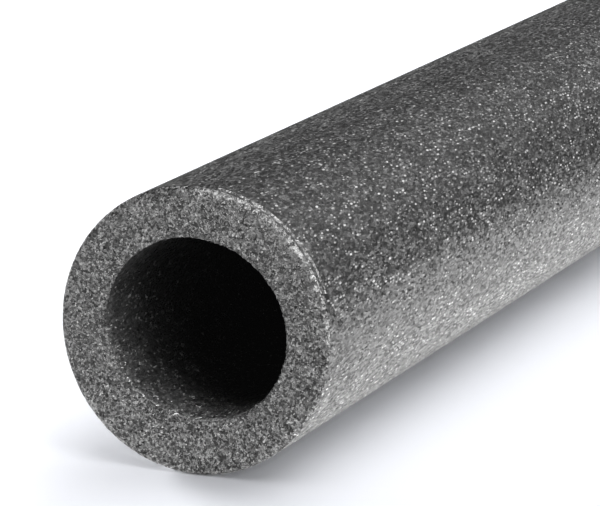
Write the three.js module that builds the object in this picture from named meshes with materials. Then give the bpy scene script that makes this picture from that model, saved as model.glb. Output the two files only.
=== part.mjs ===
// One length of grey polyethylene foam pipe lagging, lying on its side.
// Millimetres, +Z up. The tube runs along X, and the origin is on the floor under its middle.
import * as THREE from 'three';

// Driving dimensions, in millimetres
const stockLength = 1000;
const pipeDiameter = 35; // outside of the heating pipe that the lagging slides over
const pipeClearance = 1; // how much wider than the pipe the bore is
const wallThickness = 9;
const boreFlattening = 0.8; // the soft bore is this much wider and this much lower than round
const outsideFlattening = 0.2; // the same, for the outside
const boreLeanDegrees = 17; // turn of the bore's long axis away from level
const cutEdgeRadius = 0.4; // the knife leaves the foam's edges a little rounded

// Facets of the round surfaces
const sectionSides = 72; // flat strips round the tube
const edgeSteps = 3; // flat strips across a rounded edge

const boreDiameter = pipeDiameter + pipeClearance;
const outsideDiameter = boreDiameter + 2 * wallThickness;
const stripAngle = (2 * Math.PI) / sectionSides;

// A flattened circle, wider than high, whose facets straddle its own axes.
function flattenedCircle(path, diameter, flattening, lean) {
  const halfWidth = (diameter + flattening) / 2;
  const halfHeight = (diameter - flattening) / 2;
  const start = stripAngle / 2;
  return path.absellipse(0, 0, halfWidth, halfHeight, start, start + 2 * Math.PI, false, lean);
}

// The extruded ring: the round outside with the bore as its hole.
function ringSection() {
  const ring = flattenedCircle(new THREE.Shape(), outsideDiameter, outsideFlattening, 0);
  const lean = THREE.MathUtils.degToRad(boreLeanDegrees);
  ring.holes.push(flattenedCircle(new THREE.Path(), boreDiameter, boreFlattening, lean));
  return ring;
}

// The ring drawn out to its stock length, with a small round on the edges of both cut ends.
function foamTubeGeometry() {
  const geometry = new THREE.ExtrudeGeometry(ringSection(), {
    depth: stockLength - 2 * cutEdgeRadius,
    curveSegments: sectionSides / 2,
    bevelEnabled: true,
    bevelThickness: cutEdgeRadius,
    bevelSize: cutEdgeRadius,
    bevelOffset: -cutEdgeRadius,
    bevelSegments: edgeSteps,
  });
  geometry.translate(0, 0, cutEdgeRadius - stockLength / 2);
  return geometry;
}

// Lays the tube down: its length along X, its width along Y, and its lowest strip on the floor.
function layOnFloor(tube) {
  const width = new THREE.Vector3(0, 1, 0);
  const height = new THREE.Vector3(0, 0, 1);
  const length = new THREE.Vector3(1, 0, 0);
  tube.quaternion.setFromRotationMatrix(new THREE.Matrix4().makeBasis(width, height, length));
  tube.geometry.computeBoundingBox();
  tube.position.z = -tube.geometry.boundingBox.min.y;
  return tube;
}

const greyFoam = new THREE.MeshStandardMaterial({ color: 0x6e6f71, roughness: 0.8, metalness: 0 });

const foamTube = layOnFloor(new THREE.Mesh(foamTubeGeometry(), greyFoam));
foamTube.name = 'foam_tube';

const lagging = new THREE.Group();
lagging.add(foamTube);

export default lagging;
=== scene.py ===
from math import atan2, cos, degrees, exp, radians, sin, tau

import bpy
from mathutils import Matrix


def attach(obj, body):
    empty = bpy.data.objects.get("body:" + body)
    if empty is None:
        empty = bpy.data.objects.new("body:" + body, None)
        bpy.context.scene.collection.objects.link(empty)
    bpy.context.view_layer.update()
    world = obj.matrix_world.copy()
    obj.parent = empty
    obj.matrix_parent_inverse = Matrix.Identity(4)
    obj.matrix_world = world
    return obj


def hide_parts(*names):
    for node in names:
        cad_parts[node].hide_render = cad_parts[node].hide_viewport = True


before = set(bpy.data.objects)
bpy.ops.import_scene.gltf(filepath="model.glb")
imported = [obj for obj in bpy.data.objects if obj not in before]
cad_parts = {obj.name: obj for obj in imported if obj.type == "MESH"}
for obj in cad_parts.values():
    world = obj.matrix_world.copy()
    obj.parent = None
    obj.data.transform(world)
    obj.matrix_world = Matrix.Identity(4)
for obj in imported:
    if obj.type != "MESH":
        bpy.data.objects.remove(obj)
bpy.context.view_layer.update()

# Camera. It stands low in front of the cut end and a little to its side, 0.7 m off with
# a long lens, so the near end fills the left of the picture and the tube runs away past
# the right edge.
camera_place = (-1.1325, -0.2875, 0.2018)
looking_down = 12.936
turned_from_the_tube = 22.817
film_width = 36
lens_length = 233.5
nearest_seen = 0.05
farthest_seen = 200

camera_data = bpy.data.cameras.new("camera")
camera_data.sensor_width = film_width
camera_data.lens = lens_length
camera_data.clip_start = nearest_seen
camera_data.clip_end = farthest_seen
camera = bpy.data.objects.new("camera", camera_data)
camera.location = camera_place
camera.rotation_euler = (radians(90 - looking_down), 0, radians(turned_from_the_tube - 90))
bpy.context.scene.collection.objects.link(camera)
bpy.context.scene.camera = camera

# Floor and studio light. A plain white floor in a dark room. One broad lamp hangs overhead,
# two low ones stand behind the tube and past its far end, and two on the side that shows.
floor_width = 60
floor_roughness = 0.9
floor_gloss = 0.1
floor_tone = 0.93
floor_seen_by_camera = (0.905, 0.92, 0.97, 1)
floor_glow = 0.26
near_end = (-0.5, 0, 0)
fade_start = 0.25
fade_end = 0.48
room_tone = 0.03
backdrop_tone = 0.93

bpy.context.scene.view_settings.view_transform = "Standard"
bpy.ops.object.select_all(action="DESELECT")
bpy.ops.mesh.primitive_plane_add(size=floor_width)
floor = bpy.context.object
floor.name = "floor"
floor_paint = bpy.data.materials.new("white floor")
floor_paint.use_nodes = True
floor.data.materials.append(floor_paint)


def grey(tone):
    """A plain grey as a colour."""
    return (tone, tone, tone, 1)


def feed(tree, socket, value):
    """Links the socket to another one, or sets it to a plain value."""
    if isinstance(value, bpy.types.NodeSocket):
        tree.links.new(value, socket)
    else:
        socket.default_value = value


def number(tree, operation, *values):
    """A number worked out from others, each a socket or a plain value."""
    node = tree.nodes.new("ShaderNodeMath")
    node.operation = operation
    for socket, value in zip(node.inputs, values):
        feed(tree, socket, value)
    return node.outputs["Value"]


def vector(tree, operation, *values, output="Vector"):
    """A vector worked out from others, or with output="Value" a number such as a length."""
    node = tree.nodes.new("ShaderNodeVectorMath")
    node.operation = operation
    for socket, value in zip(node.inputs, values):
        feed(tree, socket, value)
    return node.outputs[output]


def ramp(tree, value, start, stop, first=0, last=1, easing="SMOOTHSTEP"):
    """A number that goes from first to last as the value goes from start to stop."""
    node = tree.nodes.new("ShaderNodeMapRange")
    node.interpolation_type = easing
    feed(tree, node.inputs["Value"], value)
    feed(tree, node.inputs["From Min"], start)
    feed(tree, node.inputs["From Max"], stop)
    feed(tree, node.inputs["To Min"], first)
    feed(tree, node.inputs["To Max"], last)
    return node.outputs["Result"]


def own_place(tree):
    """Places in the object's own coordinates."""
    return tree.nodes.new("ShaderNodeTexCoord").outputs["Object"]


def mixed_colours(tree, factor, first, last):
    """The first colour where the factor is 0, turning into the last where it is 1."""
    node = tree.nodes.new("ShaderNodeMix")
    node.data_type = "RGBA"
    feed(tree, node.inputs["Factor"], factor)
    feed(tree, node.inputs["A"], first)
    feed(tree, node.inputs["B"], last)
    return node.outputs["Result"]


def mixed_shaders(tree, factor, first, last):
    """The first shader where the factor is 0, turning into the last where it is 1."""
    node = tree.nodes.new("ShaderNodeMixShader")
    feed(tree, node.inputs["Fac"], factor)
    tree.links.new(first, node.inputs[1])
    tree.links.new(last, node.inputs[2])
    return node.outputs["Shader"]


paint = floor_paint.node_tree
shader = paint.nodes["Principled BSDF"]
shader.inputs["Roughness"].default_value = floor_roughness
shader.inputs["Specular IOR Level"].default_value = floor_gloss
shader.inputs["Emission Color"].default_value = grey(1)
ray = paint.nodes.new("ShaderNodeLightPath").outputs

# the camera sees the floor's shadow a little blue, but the foam gets no tint from it
seen_colour = mixed_colours(paint, ray["Is Camera Ray"], grey(floor_tone), floor_seen_by_camera)
feed(paint, shader.inputs["Base Color"], seen_colour)

# the floor glows for the foam that it lights, and not for the camera
glow = number(paint, "MULTIPLY_ADD", ray["Is Camera Ray"], -floor_glow, floor_glow)
feed(paint, shader.inputs["Emission Strength"], glow)

# mirrored in the foam's gloss, the floor fades to black away from the near end
away = vector(paint, "DISTANCE", own_place(paint), near_end, output="Value")
fade = ramp(paint, away, fade_start, fade_end, easing="LINEAR")
faded = number(paint, "MULTIPLY", fade, ray["Is Glossy Ray"])
black = paint.nodes.new("ShaderNodeEmission")
black.inputs["Color"].default_value = grey(0)
surface = mixed_shaders(paint, faded, shader.outputs["BSDF"], black.outputs["Emission"])
feed(paint, paint.nodes["Material Output"].inputs["Surface"], surface)

# the room is dark for the foam, with a pale backdrop for the camera
room = bpy.data.worlds.new("studio")
room.use_nodes = True
bpy.context.scene.world = room
walls = room.node_tree
dark = walls.nodes["Background"]
dark.inputs["Color"].default_value = grey(room_tone)
pale = walls.nodes.new("ShaderNodeBackground")
pale.inputs["Color"].default_value = grey(backdrop_tone)
ray = walls.nodes.new("ShaderNodeLightPath").outputs
seen = ray["Is Camera Ray"]
surface = mixed_shaders(walls, seen, dark.outputs["Background"], pale.outputs["Background"])
feed(walls, walls.nodes["World Output"].inputs["Surface"], surface)


def lamp(name, height_angle, side_angle, strength, spread, mirrored=True):
    """A far lamp at that height above the floor, side_angle round from the tube's far end."""
    light = bpy.data.lights.new(name, "SUN")
    light.energy = strength
    light.angle = radians(spread)
    stand = bpy.data.objects.new(name, light)
    stand.rotation_euler = (0, radians(90 - height_angle), radians(side_angle))
    stand.visible_glossy = mirrored
    bpy.context.scene.collection.objects.link(stand)


lamp("overhead lamp", height_angle=75, side_angle=270, strength=1.49, spread=60)
lamp("low lamp behind", height_angle=5, side_angle=60, strength=10.8, spread=25, mirrored=False)
lamp("lamp past the far end", height_angle=22, side_angle=0, strength=3.19, spread=35, mirrored=False)
lamp("low lamp in front", height_angle=22, side_angle=240, strength=1.2, spread=35)
lamp("lamp at the right", height_angle=45, side_angle=315, strength=0.62, spread=50)

# Foam tube. One metre of extruded closed-cell polyethylene foam, 54.4 mm across, with a
# 35.4 mm bore. A knife has cut both ends square, which opens the cells and rolls the rim in.
length = 1.0
bore_radius = 0.01772
outside_radius = 0.0272
outer_edge_round = 0.0011
inner_edge_round = 0.0005

# the soft tube is a little out of round, leaning so many degrees from upright
outside_oval = 0.00017
outside_lean = 20.6
bore_oval = 0.00048
bore_lean = -77.7
bore_off_centre = (-0.00043, 0.00042)

# it lies on the floor, so its axis is raised by what the oval reaches below the plain radius
oval_reach_down = 0.00013
axis_height = outside_radius + oval_reach_down

# the groove behind the rim, its middle so many degrees from the top on the side that shows
# and its reach to either side of that, and the low lip behind the groove
crease_at = 41
crease_reach = 42
crease_behind = 0.0008
crease_width = 0.00035
crease_depth = 0.0003
lip_behind = 2 * crease_behind
lip_height = 0.00015
crease_wander = 0.0001
slow_waves = 9
quick_waves = 23

# how ragged the knife left the cut's edges, the rims less so than the mouths of the bore
edge_reach = 0.002
ragged_depth = 0.0006
ragged_grain = 0.0006
rim_share = 0.3

# the mesh's steps, and a length that is less than any gap in it, to tell its places apart
sides_round = 400
rings_across_cut = 24
outer_edge_steps = 5
inner_edge_steps = 3
skin_rings = {"first_gap": 0.0003, "growth": 1.1, "widest_gap": 0.02}
bore_rings = {"first_gap": 0.0003, "growth": 1.3, "widest_gap": 0.04}
hair = 0.00001

wall = outside_radius - bore_radius
mid_wall = bore_radius + wall / 2
end = length / 2


def ring_places(first_gap, growth, widest_gap):
    """Places of the rings along the tube, close together at both ends."""
    places = []
    place = end - outer_edge_round
    gap = first_gap
    while place - gap > widest_gap / 2:
        place -= gap
        places += [place, -place]
        gap = min(gap * growth, widest_gap)
    return places


def pick(mesh, wanted):
    """Selects the vertices that wanted(co) is true for, and the edges and faces between them."""
    bpy.ops.object.mode_set(mode="OBJECT")
    for v in mesh.vertices:
        v.select = bool(wanted(v.co))
    for e in mesh.edges:
        e.select = all(mesh.vertices[i].select for i in e.vertices)
    for f in mesh.polygons:
        f.select = all(mesh.vertices[i].select for i in f.vertices)
    bpy.ops.object.mode_set(mode="EDIT")


# the wall's outline is cut from a flat strip, ringed, and spun round the tube's axis
bpy.ops.object.select_all(action="DESELECT")
bpy.ops.mesh.primitive_plane_add(size=1, location=(0, 0, mid_wall), rotation=(radians(90), 0, 0))
tube = bpy.context.object
tube.name = "foam_lagging"
tube.scale = (length, wall, 1)
bpy.ops.object.transform_apply(location=True, rotation=True, scale=True)
bpy.ops.object.mode_set(mode="EDIT")
bpy.ops.mesh.select_mode(type="VERT")
pick(tube.data, lambda co: co.z > mid_wall)
bpy.ops.mesh.bevel(offset=outer_edge_round, segments=outer_edge_steps, affect="VERTICES")
pick(tube.data, lambda co: co.z < bore_radius + hair)
bpy.ops.mesh.bevel(offset=inner_edge_round, segments=inner_edge_steps, affect="VERTICES")
bpy.ops.mesh.select_all(action="SELECT")
bpy.ops.mesh.delete(type="ONLY_FACE")
pick(tube.data, lambda co: abs(co.x) > end - hair)
bpy.ops.mesh.subdivide(number_cuts=rings_across_cut - 1)
for is_skin, rings in ((True, skin_rings), (False, bore_rings)):
    for place in ring_places(**rings):
        pick(tube.data, lambda co: (co.z > mid_wall) == is_skin)
        bpy.ops.mesh.bisect(plane_co=(place, 0, 0), plane_no=(1, 0, 0))
bpy.ops.mesh.select_all(action="SELECT")
bpy.ops.mesh.spin(steps=sides_round, angle=tau, center=(0, 0, 0), axis=(1, 0, 0))
bpy.ops.mesh.select_all(action="SELECT")
bpy.ops.mesh.remove_doubles(threshold=hair)
bpy.ops.mesh.normals_make_consistent(inside=False)
bpy.ops.object.mode_set(mode="OBJECT")
bpy.ops.object.shade_smooth()


def round_the_axis(co):
    """A point's distance from the tube's axis, and its degrees from the top to the side that shows."""
    radius = (co.y**2 + co.z**2) ** 0.5
    return radius, degrees(atan2(-co.y, co.z))


def roll_the_rim():
    """Presses a shallow groove with a low lip behind the rim, as the knife rolled it in."""
    for v in tube.data.vertices:
        radius, from_top = round_the_axis(v.co)
        if radius < outside_radius - 10 * hair:
            continue
        behind = end - outer_edge_round - abs(v.co.x)
        share = max(0, 1 - abs(from_top - crease_at) / crease_reach)
        waves = sin(radians(from_top) * slow_waves) + sin(radians(from_top) * quick_waves)
        behind -= crease_wander * waves
        groove = exp(-((behind - crease_behind) / crease_width) ** 2)
        lip = exp(-((behind - lip_behind) / crease_width) ** 2)
        move = min(1, 2 * share) * (lip_height * lip - crease_depth * groove)
        v.co.y *= 1 + move / radius
        v.co.z *= 1 + move / radius


def press_out_of_round():
    """Makes the soft tube a little oval outside and in, and its bore a little off centre."""
    for v in tube.data.vertices:
        radius, from_top = round_the_axis(v.co)
        share = max(0, min(1, (outside_radius - radius) / wall))
        outward = (1 - share) * outside_oval * cos(2 * radians(from_top - outside_lean))
        outward += share * bore_oval * cos(2 * radians(from_top - bore_lean))
        v.co.y += v.co.y * outward / radius + share * bore_off_centre[0]
        v.co.z += v.co.z * outward / radius + share * bore_off_centre[1]


roll_the_rim()
press_out_of_round()

# the knife left both mouths of the bore and both rims slightly ragged
ragged = tube.vertex_groups.new(name="cut edges")
for v in tube.data.vertices:
    radius = round_the_axis(v.co)[0]
    from_mouth = abs(radius - bore_radius)
    from_rim = outside_radius - radius + (1 - rim_share) * edge_reach
    from_edge = max(min(from_mouth, from_rim), end - abs(v.co.x))
    near = max(0, 1 - from_edge / edge_reach)
    if near > 0:
        ragged.add([v.index], near, "REPLACE")
clouds = bpy.data.textures.new("ragged edge", "CLOUDS")
clouds.noise_scale = ragged_grain
clouds.noise_depth = 1
displace = tube.modifiers.new("ragged edges", "DISPLACE")
displace.texture = clouds
displace.texture_coords = "LOCAL"
displace.vertex_group = "cut edges"
displace.strength = ragged_depth
bpy.ops.object.modifier_apply(modifier="ragged edges")

# faces that look along the tube take its second material, the cut foam, and those inside
# take its third, the bore foam, while the rest keep its first, the skin
looks_along = 0.35
for face in tube.data.polygons:
    if abs(face.normal.x) > looks_along:
        face.material_index = 1
    elif round_the_axis(face.center)[0] < mid_wall:
        face.material_index = 2

tube.location = (0, 0, axis_height)
bpy.ops.object.transform_apply(location=True, rotation=True, scale=True)


def noise(tree, place, size, detail=1):
    """Cloudy noise whose clouds are of that size, as a number and as a colour."""
    node = tree.nodes.new("ShaderNodeTexNoise")
    feed(tree, node.inputs["Vector"], place)
    feed(tree, node.inputs["Scale"], number(tree, "DIVIDE", 1, size))
    feed(tree, node.inputs["Detail"], detail)
    return node.outputs


def cells_of(tree, place, size):
    """Packed cells of that size, and each cell's own three chances, from 0 to 1."""
    node = tree.nodes.new("ShaderNodeTexVoronoi")
    feed(tree, node.inputs["Vector"], place)
    feed(tree, node.inputs["Scale"], number(tree, "DIVIDE", 1, size))
    chance = tree.nodes.new("ShaderNodeSeparateColor")
    feed(tree, chance.inputs["Color"], node.outputs["Color"])
    return node.outputs, chance.outputs


def clamped(tree, value):
    """The number kept between 0 and 1."""
    return number(tree, "MAXIMUM", number(tree, "MINIMUM", value, 1), 0)


def cell_group():
    """Foam cells stretched along the tube: their tones, pale flecks painted in as glints, leaning
    faces and dents.
    """
    mean_tone = 0.15
    small_cell_size = 0.53
    small_cell_share = 0.3
    patch_size = 10
    tone_of_patches = 0.15
    glints_of_patches = 2
    widest_glint = 0.5
    glint_edge = 6
    faintest_glint = 0.3
    dent_size = 3
    dent_sharpness = 2
    middle = (0.5, 0.5, 0.5)

    group = bpy.data.node_groups.new("foam cells", "ShaderNodeTree")
    numbers_in = ["Cell Size", "Stretch", "Raggedness", "Contrast", "Tone Rarity"]
    numbers_in += ["Tilt", "Tilt Rarity", "Painted Glint Size", "Painted Glint Share", "Dent Depth"]
    for name in numbers_in:
        group.interface.new_socket(name, in_out="INPUT", socket_type="NodeSocketFloat")
    for name in ("Tone", "Painted Glint", "Relief"):
        group.interface.new_socket(name, in_out="OUTPUT", socket_type="NodeSocketFloat")
    group.interface.new_socket("Normal", in_out="OUTPUT", socket_type="NodeSocketVector")
    given = group.nodes.new("NodeGroupInput").outputs
    made = group.nodes.new("NodeGroupOutput").inputs
    size = given["Cell Size"]

    # places squeezed along the tube make long cells, and shaken ones make ragged cells
    squeeze = group.nodes.new("ShaderNodeCombineXYZ")
    feed(group, squeeze.inputs["X"], number(group, "DIVIDE", 1, given["Stretch"]))
    feed(group, squeeze.inputs["Y"], 1)
    feed(group, squeeze.inputs["Z"], 1)
    place = vector(group, "MULTIPLY", own_place(group), squeeze.outputs["Vector"])
    shake = vector(group, "SUBTRACT", noise(group, place, size)["Color"], middle)
    shake = vector(group, "MULTIPLY", shake, number(group, "MULTIPLY", given["Raggedness"], size))
    place = vector(group, "ADD", place, shake)

    cells, chance = cells_of(group, place, size)
    small_chance = cells_of(group, place, number(group, "MULTIPLY", size, small_cell_size))[1]
    glint_cells, glint_chance = cells_of(group, place, given["Painted Glint Size"])
    patches = noise(group, place, number(group, "MULTIPLY", size, patch_size))["Fac"]
    patches = number(group, "SUBTRACT", patches, 0.5)

    # most cells are dark, and the rarer pale ones gather in patches
    tone = number(group, "MULTIPLY", chance["Red"], 1 - small_cell_share)
    tone = number(group, "MULTIPLY_ADD", small_chance["Red"], small_cell_share, tone)
    tone = number(group, "MULTIPLY_ADD", patches, tone_of_patches, tone)
    tone = number(group, "POWER", clamped(group, tone), given["Tone Rarity"])
    tone = number(group, "MULTIPLY", number(group, "SUBTRACT", tone, mean_tone), given["Contrast"])
    tone = number(group, "ADD", tone, mean_tone)
    feed(group, made["Tone"], number(group, "MAXIMUM", tone, 0))

    # a share of the cells has a soft-edged pale fleck, a painted glint, each of its own size and
    # strength
    likely = number(group, "MULTIPLY_ADD", patches, glints_of_patches, 1)
    likely = number(group, "MULTIPLY", given["Painted Glint Share"], likely)
    chosen = number(group, "LESS_THAN", glint_chance["Green"], likely)
    spot = number(group, "MULTIPLY", glint_chance["Blue"], widest_glint)
    spot = number(group, "SUBTRACT", spot, glint_cells["Distance"])
    spot = clamped(group, number(group, "MULTIPLY", spot, glint_edge))
    strength = number(group, "MULTIPLY_ADD", glint_chance["Red"], 1 - faintest_glint, faintest_glint)
    spot = number(group, "MULTIPLY", number(group, "MULTIPLY", spot, strength), chosen)
    feed(group, made["Painted Glint"], number(group, "MULTIPLY", spot, given["Contrast"]))

    # each cell's face leans its own way, and a few lean far and catch the light
    amount = number(group, "POWER", small_chance["Blue"], given["Tilt Rarity"])
    amount = number(group, "MULTIPLY", amount, given["Tilt"])
    amount = number(group, "MULTIPLY", amount, given["Contrast"])
    lean = vector(group, "SUBTRACT", cells["Color"], middle)
    lean = vector(group, "MULTIPLY", lean, amount)
    facing = group.nodes.new("ShaderNodeNewGeometry").outputs["Normal"]
    feed(group, made["Normal"], vector(group, "NORMALIZE", vector(group, "ADD", facing, lean)))

    dents = noise(group, place, number(group, "MULTIPLY", size, dent_size), detail=2)["Fac"]
    dents = number(group, "POWER", dents, dent_sharpness)
    feed(group, made["Relief"], number(group, "MULTIPLY", dents, given["Dent Depth"]))
    return group


foam_cells = cell_group()


def foam_material(name, cells_as, dark, pale, painted_glint, roughness, gloss):
    """Foam whose cells vary between a dark and a pale grey, some of them with a painted glint as a
    pale fleck.
    """
    material = bpy.data.materials.new(name)
    material.use_nodes = True
    tree = material.node_tree
    shader = tree.nodes["Principled BSDF"]
    shader.inputs["Roughness"].default_value = roughness
    shader.inputs["Specular IOR Level"].default_value = gloss
    cells = tree.nodes.new("ShaderNodeGroup")
    cells.name = "foam cells"
    cells.node_tree = foam_cells
    for socket, value in cells_as.items():
        cells.inputs[socket].default_value = value
    toned = mixed_colours(tree, cells.outputs["Tone"], grey(dark), grey(pale))
    # the pale flecks mixed into the colour are painted glints
    with_painted_glints = mixed_colours(tree, cells.outputs["Painted Glint"], toned, grey(painted_glint))
    feed(tree, shader.inputs["Base Color"], with_painted_glints)
    bump = tree.nodes.new("ShaderNodeBump")
    bump.inputs["Distance"].default_value = 1
    feed(tree, bump.inputs["Height"], cells.outputs["Relief"])
    feed(tree, bump.inputs["Normal"], cells.outputs["Normal"])
    feed(tree, shader.inputs["Normal"], bump.outputs["Normal"])
    tube.data.materials.append(material)
    return tree


def product(tree, *values):
    """The numbers multiplied together."""
    result = values[0]
    for value in values[1:]:
        result = number(tree, "MULTIPLY", result, value)
    return result


def shade_by_place(tree, *values):
    """Scales the foam's colour by all of the numbers."""
    colour = tree.nodes["Principled BSDF"].inputs["Base Color"]
    scaled = tree.nodes.new("ShaderNodeVectorMath")
    scaled.operation = "SCALE"
    feed(tree, scaled.inputs["Vector"], colour.links[0].from_socket)
    feed(tree, scaled.inputs["Scale"], product(tree, *values))
    feed(tree, colour, scaled.outputs["Vector"])


def parted(tree, place):
    """The place's X, Y and Z."""
    node = tree.nodes.new("ShaderNodeSeparateXYZ")
    feed(tree, node.inputs["Vector"], place)
    return node.outputs


# The skin is drawn out along the tube, so its cells are long, with pale flecks painted in as glints.
# It is smoother along the top of the tube, and painted paler low on its sides as light from the floor.
skin_cells = {
    "Cell Size": 0.00042,
    "Stretch": 2.5,
    "Tone Rarity": 3,
    "Tilt": 1.5,
    "Tilt Rarity": 2,
    "Painted Glint Size": 0.00056,
    "Painted Glint Share": 0.68,
    "Dent Depth": 0.00003,
}
top = axis_height + outside_radius
shoulder = axis_height + 0.8 * outside_radius
upper_side = axis_height + 0.35 * outside_radius
lower_side = axis_height - 0.65 * outside_radius

skin = foam_material(
    "foam skin", skin_cells, dark=0.01, pale=0.28, painted_glint=0.74, roughness=0.33, gloss=0.85
)
height = parted(skin, own_place(skin))["Z"]
on_top = ramp(skin, height, shoulder, top, first=0.88, last=0.62)
on_side = ramp(skin, height, axis_height, upper_side, first=1.12, last=1)
feed(skin, skin.nodes["foam cells"].inputs["Contrast"], product(skin, on_top, on_side))
# painted light: the skin is painted up to 2.2 times paler low on its sides, as light from the floor
painted_floor_light = ramp(skin, height, lower_side, axis_height, first=2.2, last=1)
shade_by_place(skin, painted_floor_light)

# The cut is made of opened cells, ragged and not drawn out. On the upper right, where light falls,
# the knife smoothed the band along its rim, which is painted paler there with a painted highlight
# along its edge, and low down the cut is painted paler as light from the floor.
cut_cells = {
    "Cell Size": 0.00043,
    "Stretch": 1,
    "Raggedness": 2,
    "Tone Rarity": 2.3,
    "Tilt": 2.4,
    "Tilt Rarity": 1.5,
    "Painted Glint Size": 0.00045,
    "Painted Glint Share": 0.4,
    "Dent Depth": 0.0008,
}
rim_starts = outside_radius - 0.0012
rim_ends = outside_radius - 0.0003
roll_starts = outside_radius - 0.0045
roll_ends = outside_radius - 0.001
right_starts = 0.45 * outside_radius
right_ends = 0.9 * outside_radius

cut = foam_material(
    "cut foam", cut_cells, dark=0.003, pale=0.44, painted_glint=0.6, roughness=0.5, gloss=0.8
)
from_axis = vector(cut, "MULTIPLY_ADD", own_place(cut), (0, 1, 1), (0, 0, -axis_height))
radius = vector(cut, "LENGTH", from_axis, output="Value")
upper_right = (0, -sin(radians(crease_at)), cos(radians(crease_at)))
toward = vector(cut, "DOT_PRODUCT", from_axis, upper_right, output="Value")
# the upper right of the cut faces the light: there the band along the rim is smoother and painted
# paler
on_right = ramp(cut, toward, right_starts, right_ends)
rim_highlight = product(cut, ramp(cut, radius, rim_starts, rim_ends), on_right)
smooth_lit_band = product(cut, ramp(cut, radius, roll_starts, roll_ends), on_right)
contrast = ramp(cut, smooth_lit_band, 0, 1, first=1.45, last=0.9)
feed(cut, cut.nodes["foam cells"].inputs["Contrast"], contrast)
# painted highlight along the rim's edge, and painted light on the smoother band inside it
painted_rim_highlight = ramp(cut, rim_highlight, 0, 1, first=1, last=2.2)
painted_band_light = ramp(cut, smooth_lit_band, 0, 1, first=1, last=1.2)
# painted light: the cut is painted up to 1.45 times paler low down, as light from the floor
painted_floor_light_on_cut = ramp(cut, parted(cut, from_axis)["Z"], -outside_radius, 0, first=1.45, last=1)
shade_by_place(cut, painted_rim_highlight, painted_band_light, painted_floor_light_on_cut)

# The bore is painted paler low down in its mouths and on its floor, as light that falls in, and
# darker farther in and above, as painted shade. A trace of glow stands for the stray light that
# keeps its depth from pure black.
bore_cells = {
    "Cell Size": 0.0005,
    "Stretch": 2,
    "Raggedness": 2,
    "Contrast": 1,
    "Tone Rarity": 3,
    "Tilt": 3,
    "Tilt Rarity": 1.5,
    "Painted Glint Size": 0.00045,
    "Painted Glint Share": 0.5,
    "Dent Depth": 0.0003,
}
stray_light = 0.0014
depth_shade_reach = 0.02
mouth_reach = 0.004
mouth_edge = 0.002
bore_floor = axis_height - 0.95 * bore_radius
bore_low_side = axis_height - 0.65 * bore_radius
bore_mid_side = axis_height - 0.5 * bore_radius
bore_high_side = axis_height + 0.6 * bore_radius

bore = foam_material(
    "bore foam", bore_cells, dark=0.01, pale=0.2, painted_glint=0.6, roughness=0.5, gloss=0.8
)
place = parted(bore, own_place(bore))
from_middle = number(bore, "ABSOLUTE", place["X"])
# painted shade and light: darker farther in and on the upper wall, paler at the mouths and on the
# floor
painted_depth_shade = ramp(bore, from_middle, end - depth_shade_reach, end - mouth_edge, first=0.25, last=1.8)
painted_mouth_light = ramp(bore, from_middle, end - mouth_reach, end, first=1, last=2.2)
painted_shade_above = ramp(bore, place["Z"], bore_mid_side, bore_high_side, first=1, last=0.2)
painted_light_on_bore_floor = ramp(bore, place["Z"], bore_floor, bore_low_side, first=2.6, last=1)
shade_by_place(bore, painted_depth_shade, painted_mouth_light, painted_shade_above, painted_light_on_bore_floor)
glimmer = bore.nodes["Principled BSDF"].inputs
glimmer["Emission Color"].default_value = grey(1)
glimmer["Emission Strength"].default_value = stray_light

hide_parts("foam_tube")
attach(tube, "root")
